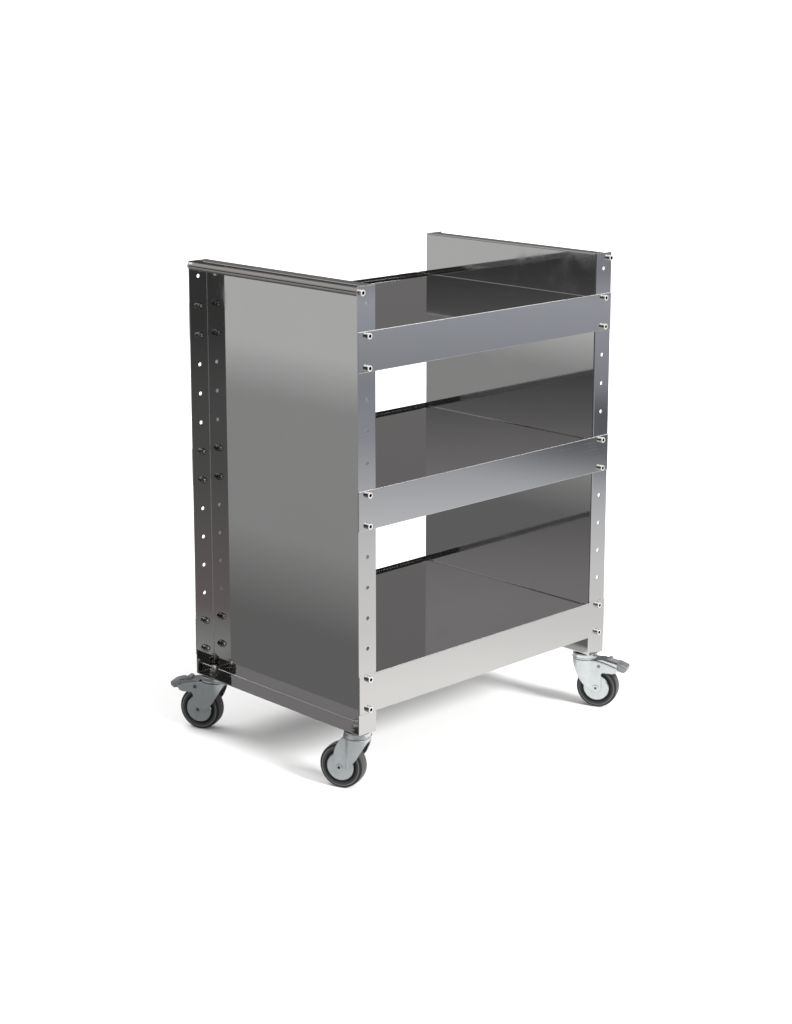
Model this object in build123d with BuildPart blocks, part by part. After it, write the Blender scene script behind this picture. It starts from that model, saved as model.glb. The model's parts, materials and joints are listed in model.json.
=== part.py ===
from build123d import *
import math
import os

# Bar cart: two folded side trays, three shelves between bolted aprons, two handle
# bars and four swivel casters. Millimetres. +X right, +Y to the rear, +Z up.
# The origin is on the floor, under the middle of the cart.

os.makedirs("parts", exist_ok=True)

# driving dimensions of the frame
cart_width = 595.0
cart_depth = 412.0
side_height = 718.0
flange_width = 39.0
sheet = 1.5
bend_inside = 1.0
bend_relief = 4.0
caster_height = 100.0
edge_round = 0.7

# rows of holes in the four upright flanges
hole_pitch = 50.0
hole_count = 14
first_hole = 41.0
hole_radius = 3.25

# shelves and aprons: each apron is held at two neighbouring holes
apron_height = 64.0
shelf_drop = 5.5
ledge_depth = 18.0
shelf_gap = 0.8
hem_height = 15.0
shelf_rows = {"lower": 0, "middle": 6, "top": 11}

# handle bars and the top flange beside them
bar_radius = 6.5
bar_drop = 9.5
bar_bore_depth = 16.0
bar_gap = 0.25
top_flange_width = 24.0

# M6 socket screws, nuts and washers
screw_radius = 3.0
screw_head_radius = 5.0
screw_head_height = 6.0
screw_socket_width = 5.0
screw_length = 12.0
screw_head_round = 0.8
screw_tip_chamfer = 0.6
washer_radius = 6.0
washer_height = 1.6
nut_width = 10.0
nut_height = 5.0
nut_corner = 0.45

# casters: the wheel trails along local +X
stem_inset_y = 24.5
wheel_radius = 37.5
wheel_trail = 25.0
cheek_inner = 14.6
cheek_plate = 2.5
crown_radius = 22.0
crown_top = 88.0
crown_bottom = 85.5
cheek_end_radius = 10.0
axle_radius = 4.0
running_gap = 0.05
seat_gap = 0.02
stem_radius = 5.0
stem_clearance = 0.2
guard_radius = 23.5
hub_half_width = 13.1
tyre_seat_radius = 27.5
pedal_pivot_x = 30.0
pedal_pivot_z = 78.5
pedal_pin_radius = 2.0
shoe_gap = 2.6

half_width = cart_width / 2
half_depth = cart_depth / 2
bend_outside = bend_inside + sheet
web_x = half_width - flange_width
side_top = caster_height + side_height
bar_x = half_width - bar_radius - bar_gap
bar_z = side_top - bar_drop
stem_x = half_width - flange_width / 2
stem_y = half_depth - stem_inset_y


def save(piece, name):
    piece.part.label = name
    export_step(piece.part, f"parts/{name}.step")


def hole_height(row):
    return caster_height + first_hole + row * hole_pitch


# ---------------------------------------------------------------- side trays
# A flat web with flanges bent outwards: perforated ones at the front and rear,
# a floor flange for the casters and a narrower top flange beside the handle bar.

with BuildPart() as right_side_panel:
    with BuildSketch(Plane.XY.offset(caster_height)) as channel:
        with Locations((web_x + flange_width / 2, 0)):
            Rectangle(flange_width, cart_depth)
        fillet(channel.vertices().group_by(Axis.X)[0], bend_outside)
        with Locations((web_x + sheet + flange_width, 0)):
            RectangleRounded(2 * flange_width, cart_depth - 2 * sheet, bend_inside, mode=Mode.SUBTRACT)
    extrude(amount=side_height)
    # the web's lower and upper edges are cut back for the two bends
    for edge_z in (caster_height, side_top):
        with Locations((web_x, 0, edge_z)):
            Box(2 * bend_outside, cart_depth - 2 * bend_relief, 2 * bend_outside, mode=Mode.SUBTRACT)
    # floor flange, an L with its bend, from flange to flange
    lip = 3 * bend_outside
    with BuildSketch(Plane.XZ) as floor_flange:
        with Locations((web_x + flange_width / 2, caster_height + lip / 2)):
            Rectangle(flange_width, lip)
        fillet(floor_flange.vertices().group_by(Axis.Y)[0].sort_by(Axis.X)[0], bend_outside)
        with Locations((web_x + sheet + flange_width, caster_height + sheet + flange_width)):
            RectangleRounded(2 * flange_width, 2 * flange_width, bend_inside, mode=Mode.SUBTRACT)
    extrude(amount=half_depth - bend_relief, both=True)
    with Locations((half_width - (flange_width - bend_outside) / 2, 0, caster_height + sheet / 2)):
        Box(flange_width - bend_outside, cart_depth - sheet, sheet)
    # top flange, the same bend upside down
    with BuildSketch(Plane.XZ) as top_flange:
        with Locations((web_x + top_flange_width / 2, side_top - lip / 2)):
            Rectangle(top_flange_width, lip)
        fillet(top_flange.vertices().group_by(Axis.Y)[-1].sort_by(Axis.X)[0], bend_outside)
        with Locations((web_x + sheet + flange_width, side_top - sheet - flange_width)):
            RectangleRounded(2 * flange_width, 2 * flange_width, bend_inside, mode=Mode.SUBTRACT)
    extrude(amount=half_depth - bend_relief, both=True)
    # the row of holes, through the front and rear flanges at once
    row_middle = (hole_height(0) + hole_height(hole_count - 1)) / 2
    with BuildSketch(Plane.XZ):
        with Locations((stem_x, row_middle)):
            with GridLocations(0, hole_pitch, 1, hole_count):
                Circle(hole_radius)
        with Locations((bar_x, bar_z)):
            Circle(hole_radius)
    extrude(amount=half_depth + sheet, both=True, mode=Mode.SUBTRACT)
    # the two stem holes in the floor flange
    with BuildSketch(Plane.XY.offset(caster_height)):
        with Locations((stem_x, 0)):
            with GridLocations(0, 2 * stem_y, 1, 2):
                Circle(stem_radius + stem_clearance)
    extrude(amount=2 * sheet, both=True, mode=Mode.SUBTRACT)
save(right_side_panel, "right_side_panel")

with BuildPart() as left_side_panel:
    mirror(right_side_panel.part, about=Plane.YZ)
save(left_side_panel, "left_side_panel")

# ------------------------------------------------------- aprons and shelves
# The aprons cross the flanges outside, at the front and the rear. Each has a
# ledge welded behind it, between the side trays, and the shelf lies on two ledges.

for shelf_name, row in shelf_rows.items():
    apron_low = hole_height(row) - (apron_height - hole_pitch) / 2
    apron_top = apron_low + apron_height
    shelf_top = apron_top - shelf_drop

    with BuildPart() as front_apron:
        with Locations((0, -half_depth - sheet / 2, apron_low + apron_height / 2)):
            Box(cart_width, sheet, apron_height)
        fillet(front_apron.faces().sort_by(Axis.Y)[0].edges(), edge_round)
        with BuildSketch(Plane.XZ.offset(half_depth)):
            with Locations((0, hole_height(row) + hole_pitch / 2)):
                with GridLocations(2 * stem_x, hole_pitch, 2, 2):
                    Circle(hole_radius)
        extrude(amount=2 * sheet, both=True, mode=Mode.SUBTRACT)
        with Locations((0, -half_depth + ledge_depth / 2, shelf_top - 1.5 * sheet)):
            Box(2 * (web_x - shelf_gap), ledge_depth, sheet)
    save(front_apron, f"{shelf_name}_front_apron")

    with BuildPart() as rear_apron:
        mirror(front_apron.part, about=Plane.XZ)
    save(rear_apron, f"{shelf_name}_rear_apron")

    # flat tray with its left and right edges turned down
    with BuildPart() as shelf:
        shelf_half = web_x - shelf_gap
        with BuildSketch(Plane.XZ) as hemmed:
            with Locations((0, shelf_top - hem_height / 2)):
                Rectangle(2 * shelf_half, hem_height)
            fillet(hemmed.vertices().group_by(Axis.Y)[-1], bend_outside)
            with Locations((0, shelf_top - sheet - hem_height)):
                RectangleRounded(2 * (shelf_half - sheet), 2 * hem_height, bend_inside, mode=Mode.SUBTRACT)
        extrude(amount=half_depth - ledge_depth - 2 * sheet, both=True)
        with Locations((0, 0, shelf_top - sheet / 2)):
            Box(2 * (shelf_half - bend_outside), 2 * (half_depth - shelf_gap), sheet)
    save(shelf, f"{shelf_name}_shelf")

# ------------------------------------------------------------- handle bars

with BuildPart() as right_handle_bar:
    bar_length = cart_depth - 2 * sheet
    with BuildSketch(Plane.XZ):
        with Locations((bar_x, bar_z)):
            Circle(bar_radius)
    extrude(amount=bar_length / 2, both=True)
    for end in (-1, 1):
        with Locations((bar_x, end * (bar_length - bar_bore_depth) / 2, bar_z)):
            Cylinder(screw_radius + 2 * running_gap, bar_bore_depth, rotation=(90, 0, 0), mode=Mode.SUBTRACT)
save(right_handle_bar, "right_handle_bar")

with BuildPart() as left_handle_bar:
    mirror(right_handle_bar.part, about=Plane.YZ)
save(left_handle_bar, "left_handle_bar")

# ---------------------------------------------------------------- fasteners
# One screw, nut and washer stand on their own Z axis and are then set in rows.

with BuildPart() as socket_screw:
    Cylinder(screw_head_radius, screw_head_height, align=(Align.CENTER, Align.CENTER, Align.MIN))
    fillet(socket_screw.edges().group_by(Axis.Z)[-1], screw_head_round)
    with BuildSketch(Plane.XY.offset(screw_head_height)):
        RegularPolygon(screw_socket_width / 2, 6, major_radius=False)
    extrude(amount=-screw_head_height / 2, mode=Mode.SUBTRACT)
    Cylinder(screw_radius, screw_length, align=(Align.CENTER, Align.CENTER, Align.MAX))
    chamfer(socket_screw.edges().group_by(Axis.Z)[0], screw_tip_chamfer)

with BuildPart() as screw_washer:
    Cylinder(washer_radius, washer_height, align=(Align.CENTER, Align.CENTER, Align.MIN))
    Hole(screw_radius + stem_clearance)

with BuildPart() as screw_nut:
    with BuildSketch():
        RegularPolygon(nut_width / 2, 6, major_radius=False)
    extrude(amount=nut_height)
    with BuildSketch():
        Circle(nut_width / 2 + nut_corner)
    extrude(amount=nut_height, mode=Mode.INTERSECT)
    Hole(screw_radius + running_gap)


def apron_group(piece, face_y, towards):
    # sets a piece at all four screws of each front apron, then mirrors the set
    with BuildPart() as group:
        for lowest_row in shelf_rows.values():
            middle = (0, face_y, hole_height(lowest_row) + hole_pitch / 2)
            with Locations(Plane(origin=middle, x_dir=(1, 0, 0), z_dir=(0, towards, 0))):
                with GridLocations(2 * stem_x, hole_pitch, 2, 2):
                    add(piece)
        mirror(about=Plane.XZ)
    return group


save(apron_group(socket_screw.part, -half_depth - sheet, -1), "apron_screws")
save(apron_group(screw_washer.part, -half_depth + sheet, 1), "apron_washers")
save(apron_group(screw_nut.part, -half_depth + sheet + washer_height, 1), "apron_nuts")

with BuildPart() as handle_screws:
    with Locations(Plane(origin=(0, -half_depth, bar_z), x_dir=(1, 0, 0), z_dir=(0, -1, 0))):
        with GridLocations(2 * bar_x, 0, 2, 1):
            add(socket_screw.part)
    mirror(about=Plane.XZ)
save(handle_screws, "handle_screws")

# -------------------------------------------------- caster heads and stems

race_radius = 22.0
race_wall = 2.0
race_lip_radius = 23.0
race_lip_height = 1.6
race_top = caster_height - sheet
race_ceiling = 95.1
race_low = 89.6
sleeve_bore = stem_radius + 2 * running_gap
sleeve_radius = 7.0
sleeve_flange_radius = 12.0
sleeve_low = 82.3
ball_radius = 3.45
ball_ring_radius = 15.5
ball_count = 12
stem_head_low = 76.0
stem_top = 116.0
stem_end_chamfer = 0.8
stem_nut_width = 16.0
stem_nut_height = 8.0
stem_nut_chamfer = 0.7
stem_washer_radius = 10.0

# upper race: a drawn cup with a rolled lip, clamped under the floor flange
with BuildPart() as upper_race:
    with BuildSketch(Plane.XZ) as cup:
        with BuildLine():
            Polyline(
                (stem_radius + stem_clearance, race_ceiling),
                (race_radius - race_wall, race_ceiling),
                (race_radius - race_wall, race_low),
                (race_lip_radius, race_low),
                (race_lip_radius, race_low + race_lip_height),
                (race_radius, race_low + race_lip_height + 0.6),
                (race_radius, race_top),
                (stem_radius + stem_clearance, race_top),
                close=True,
            )
        make_face()
        fillet(cup.vertices().group_by(Axis.Y)[-1].sort_by(Axis.X)[-1], race_lip_height)
    revolve(axis=Axis.Z)

# lower race: a flanged sleeve that the crown turns on
with BuildPart() as lower_race:
    with BuildSketch(Plane.XZ):
        with BuildLine():
            Polyline(
                (sleeve_bore, sleeve_low),
                (sleeve_flange_radius, sleeve_low),
                (sleeve_flange_radius, crown_bottom - 2 * running_gap),
                (sleeve_radius, crown_bottom - 2 * running_gap),
                (sleeve_radius, race_ceiling),
                (sleeve_bore, race_ceiling),
                close=True,
            )
        make_face()
    revolve(axis=Axis.Z)

with BuildPart() as ball_ring:
    with Locations((0, 0, race_ceiling - ball_radius - running_gap)):
        with PolarLocations(ball_ring_radius, ball_count):
            Sphere(ball_radius)

with BuildPart() as stem_bolt:
    with BuildSketch(Plane.XY.offset(stem_head_low)):
        RegularPolygon(stem_nut_width / 2, 6, major_radius=False)
    extrude(amount=sleeve_low - stem_head_low)
    with BuildSketch(Plane.XY.offset(sleeve_low)):
        Circle(stem_radius)
    extrude(amount=stem_top - sleeve_low)
    chamfer(stem_bolt.edges().group_by(Axis.Z)[-1], stem_end_chamfer)

flange_top = caster_height + sheet
with BuildPart() as stem_washer:
    with BuildSketch(Plane.XY.offset(race_top), Plane.XY.offset(flange_top)):
        Circle(stem_washer_radius)
        Circle(stem_radius + stem_clearance, mode=Mode.SUBTRACT)
    extrude(amount=caster_height - race_top)

nut_seat = flange_top + caster_height - race_top
nut_face_radius = stem_nut_width / 2 + stem_clearance
nut_corner_radius = stem_nut_width / 2 + 1.3
with BuildPart() as stem_nut:
    with BuildSketch(Plane.XY.offset(nut_seat)):
        RegularPolygon(stem_nut_width / 2, 6, major_radius=False)
    extrude(amount=stem_nut_height)
    with BuildSketch(Plane.XZ):
        with BuildLine():
            Polyline(
                (stem_radius + running_gap, nut_seat),
                (nut_face_radius, nut_seat),
                (nut_corner_radius, nut_seat + stem_nut_chamfer),
                (nut_corner_radius, nut_seat + stem_nut_height - stem_nut_chamfer),
                (nut_face_radius, nut_seat + stem_nut_height),
                (stem_radius + running_gap, nut_seat + stem_nut_height),
                close=True,
            )
        make_face()
    revolve(axis=Axis.Z, mode=Mode.INTERSECT)

for piece, name in (
    (ball_ring, "swivel_balls"),
    (stem_bolt, "stem_bolts"),
    (stem_washer, "stem_washers"),
    (stem_nut, "stem_nuts"),
):
    with BuildPart() as stem_group:
        with GridLocations(2 * stem_x, 2 * stem_y, 2, 2):
            add(piece.part)
    save(stem_group, name)

# --------------------------------------------------------------- the forks
# A round crown whose skirt runs down into two cheeks. The braked fork has ears
# behind the wheel that carry the brake pedal.

cheek_outer = cheek_inner + cheek_plate
fork_low = wheel_radius - cheek_end_radius
toe_angle = math.radians(42.5)
toe = (
    wheel_trail - cheek_end_radius * math.sin(toe_angle),
    wheel_radius - cheek_end_radius * math.cos(toe_angle),
)
cheek_back = (wheel_trail + cheek_end_radius, wheel_radius)
lead_knee = (-6.5, 56.0)
lead_low = (2.0, 45.0)
# trailing edge of a plain fork, and its curve up to the crown
plain_back = (wheel_trail + cheek_end_radius, 60.0)
plain_bend = (31.0, 73.0)
plain_crown = (crown_radius - 1, crown_top)
# trailing edge of a braked fork: a notch over the wheel, an ear, and the curve over it
ear_tip = (64.5, 75.5)
ear_edge = [(34.5, 60.0), (34.5, 64.0), (37.0, 67.0), (55.0, 67.0), (61.0, 69.0), ear_tip]
ear_bend = (44.0, 83.0)
ear_crown = (crown_radius - 3, crown_top)
wheel_axis = Axis((wheel_trail, 0, wheel_radius), (0, 1, 0))


def build_fork(braked):
    with BuildPart() as fork:
        reach = ear_tip[0] + 2
        with BuildSketch(Plane.XY.offset(fork_low)):
            Circle(crown_radius)
            with Locations((reach / 2, 0)):
                Rectangle(reach, 2 * cheek_outer)
        extrude(amount=crown_top - fork_low)
        with BuildSketch(Plane.XY.offset(fork_low)):
            Circle(crown_radius - cheek_plate)
            with Locations((reach / 2 + 2, 0)):
                Rectangle(reach + 4, 2 * cheek_inner)
        extrude(amount=crown_bottom - fork_low, mode=Mode.SUBTRACT)
        # outline from the side: leading edge, rounded end at the axle, trailing edge
        with BuildSketch(Plane.XZ):
            with BuildLine():
                Polyline((-crown_radius, crown_top), (-crown_radius, crown_bottom), lead_knee, lead_low, toe)
                ThreePointArc(toe, (wheel_trail, fork_low), cheek_back)
                if braked:
                    Polyline(cheek_back, *ear_edge)
                    ThreePointArc(ear_tip, ear_bend, ear_crown)
                    Line(ear_crown, (-crown_radius, crown_top))
                else:
                    Line(cheek_back, plain_back)
                    ThreePointArc(plain_back, plain_bend, plain_crown)
                    Line(plain_crown, (-crown_radius, crown_top))
            make_face()
        extrude(amount=2 * crown_radius, both=True, mode=Mode.INTERSECT)
        with Locations((reach / 2 + crown_radius - 1, 0, crown_top)):
            Box(reach, 2 * cheek_inner, 4 * cheek_plate, mode=Mode.SUBTRACT)
        with BuildSketch(Plane.XY.offset(crown_top)):
            Circle(sleeve_radius + running_gap)
        extrude(amount=-2 * cheek_plate, mode=Mode.SUBTRACT)
        with BuildSketch(Plane.XZ):
            with Locations((wheel_trail, wheel_radius)):
                Circle(axle_radius + seat_gap)
            if braked:
                with Locations((pedal_pivot_x, pedal_pivot_z)):
                    Circle(pedal_pin_radius + seat_gap)
        extrude(amount=2 * crown_radius, both=True, mode=Mode.SUBTRACT)
    return fork.part


plain_fork = build_fork(False)
braked_fork = build_fork(True)


def build_rivet(radius, head_radius, head_height, bore, x, z):
    # a pin across both cheeks with a flared head outside each
    with BuildPart() as rivet:
        with BuildSketch(Plane.XZ):
            with Locations((x, z)):
                Circle(radius)
        extrude(amount=cheek_outer, both=True)
        with BuildSketch(Plane.XZ.offset(cheek_outer), Plane.XZ.offset(-cheek_outer - head_height)):
            with Locations((x, z)):
                Circle(head_radius)
        extrude(amount=head_height)
        fillet(rivet.edges().filter_by(GeomType.CIRCLE).group_by(Axis.Y)[0], head_height / 2)
        fillet(rivet.edges().filter_by(GeomType.CIRCLE).group_by(Axis.Y)[-1], head_height / 2)
        if bore:
            with BuildSketch(Plane.XZ):
                with Locations((x, z)):
                    Circle(bore)
            extrude(amount=2 * cheek_outer, both=True, mode=Mode.SUBTRACT)
    return rivet.part


axle_head_radius = 5.6
axle_head_height = 1.2
axle_bore = 2.4
pin_head_radius = 3.2
pin_head_height = 0.9
axle = build_rivet(
    axle_radius, axle_head_radius, axle_head_height, axle_bore, wheel_trail, wheel_radius
)
pedal_pin = build_rivet(
    pedal_pin_radius, pin_head_radius, pin_head_height, 0, pedal_pivot_x, pedal_pivot_z
)

# ----------------------------------------------------------- wheel pieces
# Profiles are drawn with x along the axle and y outwards from it.

wheel_plane = Plane(origin=(wheel_trail, 0, wheel_radius), x_dir=(0, 1, 0), z_dir=(1, 0, 0))
guard_plate = 1.1
guard_cone = 1.5
hub_boss_radius = 8.5
hub_web_half = 4.0
hub_rim_half = 11.4
tyre_half = 12.0

with BuildPart() as thread_guards:
    with BuildSketch(wheel_plane) as guard_profile:
        with BuildLine():
            Polyline(
                (cheek_inner, axle_radius + seat_gap),
                (cheek_inner, guard_radius - guard_cone),
                (cheek_inner - guard_cone, guard_radius),
                (cheek_inner - guard_cone - 0.9, guard_radius),
                (cheek_inner - guard_plate, guard_radius - guard_cone - 0.5),
                (cheek_inner - guard_plate, axle_radius + seat_gap),
                close=True,
            )
        make_face()
        mirror(about=Plane.YZ)
    revolve(axis=wheel_axis)

with BuildPart() as wheel_hub:
    with BuildSketch(wheel_plane):
        with BuildLine():
            Polyline(
                (0, axle_radius + running_gap),
                (hub_half_width, axle_radius + running_gap),
                (hub_half_width, hub_boss_radius),
                (hub_web_half, hub_boss_radius + 2.0),
                (hub_web_half, tyre_seat_radius - 6.0),
                (hub_rim_half - 0.6, tyre_seat_radius - 3.5),
                (hub_rim_half, tyre_seat_radius - 2.5),
                (hub_rim_half, tyre_seat_radius - 0.5),
                (hub_rim_half - 0.5, tyre_seat_radius),
                (0, tyre_seat_radius),
                close=True,
            )
        make_face()
        mirror(about=Plane.YZ)
    revolve(axis=wheel_axis)

tyre_step_radius = 33.0
shoulder_low = (11.4, 34.4)
shoulder_high = (9.2, 36.9)

with BuildPart() as tyre:
    with BuildSketch(wheel_plane):
        with BuildLine():
            Polyline(
                (0, tyre_seat_radius),
                (hub_rim_half - 0.5, tyre_seat_radius),
                (tyre_half, tyre_seat_radius + 1.1),
                (tyre_half, tyre_step_radius),
                (tyre_half - 0.6, tyre_step_radius + 0.6),
                shoulder_low,
            )
            ThreePointArc(shoulder_low, (10.7, 36.0), shoulder_high)
            ThreePointArc(shoulder_high, (4.7, 37.35), (0, wheel_radius))
            Line((0, wheel_radius), (0, tyre_seat_radius))
        make_face()
        mirror(about=Plane.YZ)
    revolve(axis=wheel_axis)

# ------------------------------------------------------------- brake pedal
# A folded lever between the ears, a shoe under it over the tyre, and a moulded
# tread with a raised heel and a ribbed toe.

lever_half = 13.4
lever_start = (24.5, 88.5)
lever_knee = (34.0, 89.5)
lever_end = (62.0, 84.2)
lever_skirt = [(62.0, 78.2), (50.0, 78.5), (37.0, 75.8), (34.0, 74.9)]
lever_heel = (26.0, 75.8)
lever_plate = 2.0
lever_slope = (lever_end[1] - lever_knee[1]) / (lever_end[0] - lever_knee[0])


def lever_line(x):
    # height of the lever's sloping top
    return lever_knee[1] + lever_slope * (x - lever_knee[0])


# a corner well behind and under the lever, for the cut that hollows it
below_x = 20.0
below_z = 60.0

with BuildPart() as pedal_lever:
    with BuildSketch(Plane.XZ):
        with BuildLine():
            Polyline(lever_start, lever_knee, lever_end, *lever_skirt)
            ThreePointArc(lever_skirt[-1], (pedal_pivot_x, 74.3), lever_heel)
            Line(lever_heel, lever_start)
        make_face()
    extrude(amount=lever_half, both=True)
    with BuildSketch(Plane.XZ):
        with BuildLine():
            Polyline(
                (below_x, lever_start[1] - lever_plate - 0.5),
                (lever_knee[0], lever_knee[1] - lever_plate),
                (lever_end[0], lever_end[1] - lever_plate),
                (lever_end[0] + 4, below_z),
                (below_x, below_z),
                close=True,
            )
        make_face()
    extrude(amount=lever_half - lever_plate, both=True, mode=Mode.SUBTRACT)
    with BuildSketch(Plane.XZ):
        with Locations((pedal_pivot_x, pedal_pivot_z)):
            Circle(pedal_pin_radius + running_gap)
    extrude(amount=2 * lever_half, both=True, mode=Mode.SUBTRACT)

with BuildPart() as brake_shoe:
    shoe_start = 36.0
    shoe_end = 46.0
    with BuildSketch(Plane.XZ):
        with BuildLine():
            Polyline(
                (shoe_start, lever_line(shoe_start) - lever_plate),
                (shoe_end, lever_line(shoe_end) - lever_plate),
                (shoe_end, below_z),
                (shoe_start, below_z),
                close=True,
            )
        make_face()
        with Locations((wheel_trail, wheel_radius)):
            Circle(wheel_radius + shoe_gap, mode=Mode.SUBTRACT)
    extrude(amount=lever_half - lever_plate - 1.0, both=True)

pad_half = 13.0
pad_start = lever_end[0]
pad_end = 80.0
pad_low = 69.5
pad_top = lever_end[1]
pad_crest = pad_top + 1.4
strap_half = 8.0
heel_x = 46.5
heel_height = 5.2
rib_pitch = 3.2
rib_depth = 1.0
rib_fall = 0.32
groove_count = 5

with BuildPart() as pedal_pad:
    with BuildSketch(Plane.XZ) as toe:
        with BuildLine():
            Polyline(
                (pad_start, pad_crest),
                (pad_start + 7, pad_top + 0.6),
                (pad_end, pad_top - 4),
                (pad_end, pad_low + 4),
                (pad_end - 5, pad_low),
                (pad_start, pad_low + 3),
                close=True,
            )
        make_face()
        fillet(toe.vertices().group_by(Axis.X)[-1], 2.0)
    extrude(amount=pad_half, both=True)
    fillet(pedal_pad.edges().filter_by(Axis.Z).group_by(Axis.X)[-1], 3.0)
    # strap and heel lie on the lever
    with BuildSketch(Plane.XZ) as strap:
        with BuildLine():
            Polyline(
                (heel_x - 4, lever_line(heel_x - 4)),
                (heel_x - 3, lever_line(heel_x) + heel_height),
                (heel_x + 3, lever_line(heel_x) + heel_height),
                (heel_x + 4.5, lever_line(heel_x) + 1.0),
                (pad_start, pad_crest),
                (pad_start, pad_top),
                close=True,
            )
        make_face()
        fillet(strap.vertices().group_by(Axis.Y)[-1], 1.6)
    extrude(amount=strap_half, both=True)
    # grooves between the toe's ribs
    with BuildSketch(Plane.XZ):
        for step in range(groove_count):
            with Locations((pad_start + (step + 1) * rib_pitch, pad_crest - rib_fall * step * rib_pitch)):
                Circle(rib_depth)
    extrude(amount=pad_half + 1, both=True, mode=Mode.SUBTRACT)

# ------------------------------------------------------ placing the casters

casters = {
    "front_left": (-1, -1, 113.0, False),
    "front_right": (1, -1, -65.0, True),
    "rear_left": (-1, 1, 115.0, True),
    "rear_right": (1, 1, -67.0, False),
}

for corner, (side, end, trail_angle, braked) in casters.items():
    pieces = {
        "upper_race": upper_race.part,
        "lower_race": lower_race.part,
        "fork": braked_fork if braked else plain_fork,
        "axle": axle,
        "thread_guards": thread_guards.part,
        "wheel_hub": wheel_hub.part,
        "tyre": tyre.part,
    }
    if braked:
        pieces["pedal_pin"] = pedal_pin
        pieces["pedal_lever"] = pedal_lever.part
        pieces["brake_shoe"] = brake_shoe.part
        pieces["pedal_pad"] = pedal_pad.part
    for name, piece in pieces.items():
        with BuildPart() as placed:
            with Locations(Location((side * stem_x, end * stem_y, 0), (0, 0, trail_angle))):
                add(piece)
        save(placed, f"{corner}_{name}")
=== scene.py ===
import json
import math
import bpy
import numpy as np
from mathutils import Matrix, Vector


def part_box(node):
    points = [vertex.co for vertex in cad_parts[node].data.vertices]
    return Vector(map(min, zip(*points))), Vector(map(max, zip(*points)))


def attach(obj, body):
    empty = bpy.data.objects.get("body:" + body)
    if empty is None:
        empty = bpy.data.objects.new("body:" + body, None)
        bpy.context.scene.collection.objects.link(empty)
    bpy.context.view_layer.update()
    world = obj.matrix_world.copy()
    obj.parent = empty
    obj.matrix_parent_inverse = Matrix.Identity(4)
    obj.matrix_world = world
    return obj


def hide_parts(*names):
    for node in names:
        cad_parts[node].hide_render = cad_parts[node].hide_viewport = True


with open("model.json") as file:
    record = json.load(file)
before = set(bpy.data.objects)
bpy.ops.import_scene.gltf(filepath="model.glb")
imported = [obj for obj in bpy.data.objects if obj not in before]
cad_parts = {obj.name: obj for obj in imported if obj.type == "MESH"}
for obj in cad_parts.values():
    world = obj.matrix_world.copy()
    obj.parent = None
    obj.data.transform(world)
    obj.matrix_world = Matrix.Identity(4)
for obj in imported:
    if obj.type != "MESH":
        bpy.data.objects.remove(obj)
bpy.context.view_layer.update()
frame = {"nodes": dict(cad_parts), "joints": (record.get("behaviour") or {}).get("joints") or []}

print("frame loaded:", len(frame["nodes"]), "nodes")

corners = ("front_left", "front_right", "rear_left", "rear_right")
joints = {joint["name"]: joint for joint in frame["joints"]}
millimetre = 0.001       # shapes are written in millimetres and made in metres
sharpAngle = 32.0        # edges that turn by more degrees than this stay crisp
fullTurn = 2.0 * math.pi
diagonal = 0.7071        # both parts of a direction halfway between X and Y


# meshes: a shape is a grid of points, rows x columns x 3, worked out as whole arrays

def unit(vector):
    # a vector divided by its length
    vector = np.asarray(vector, float)
    return vector / np.linalg.norm(vector)


def axisFrame(axis):
    # three unit directions, the last one along the axis
    along = unit(axis)
    across = unit(np.cross((0.0, 0.0, 1.0), along)) if abs(along[2]) < 0.9 else np.array((1.0, 0.0, 0.0))
    return np.stack([across, np.cross(along, across), along])


def placed(points, origin, axis):
    # points of a piece drawn on its own Z axis, set on an axis in the cart's frame
    return points @ axisFrame(axis) + np.asarray(origin, float)


def roundAngles(columns):
    # equal steps once round, as one row
    return np.linspace(0.0, fullTurn, columns, endpoint=False)[None]


def roundRings(radius, angle, height):
    # (radius cos, radius sin, height) for columns of radius and height and a row of angles
    return np.stack([radius * np.cos(angle), radius * np.sin(angle), height + 0.0 * angle], -1)


def cappedForm(rings):
    # closed around, and drawn to a pole at the middle of the first and of the last row
    rows, columns = rings.shape[:2]
    points = np.concatenate([rings.reshape(-1, 3), [rings[0].mean(0)], [rings[-1].mean(0)]])
    row = np.arange(rows - 1)[:, None] * columns
    column = np.arange(columns)[None]
    beside = (column + 1) % columns
    quads = np.stack([row + column, row + beside, row + columns + beside, row + columns + column], -1)
    ring, after = column[0], beside[0]
    last = (rows - 1) * columns
    firstPole = np.full(columns, rows * columns)
    fans = [
        np.stack([firstPole, after, ring], -1),
        np.stack([firstPole + 1, last + ring, last + after], -1),
    ]
    return points, [quads.reshape(-1, 4), *fans]


def ringForm(rings):
    # closed both ways, as a tyre is
    rows, columns = rings.shape[:2]
    row = np.arange(rows)[:, None] * columns
    column = np.arange(columns)[None]
    nextRow = (row + columns) % (rows * columns)
    beside = (column + 1) % columns
    quads = np.stack([row + column, row + beside, nextRow + beside, nextRow + column], -1)
    return rings.reshape(-1, 3), [quads.reshape(-1, 4)]


def volumeOf(points, faces):
    # signed volume: the sum over fan triangles of a . (b x c) / 6
    total = 0.0
    for group in faces:
        for corner in range(1, group.shape[1] - 1):
            a, b, c = points[group[:, 0]], points[group[:, corner]], points[group[:, corner + 1]]
            total += np.einsum("ij,ij->i", a, np.cross(b, c)).sum() / 6
    return total


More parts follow.
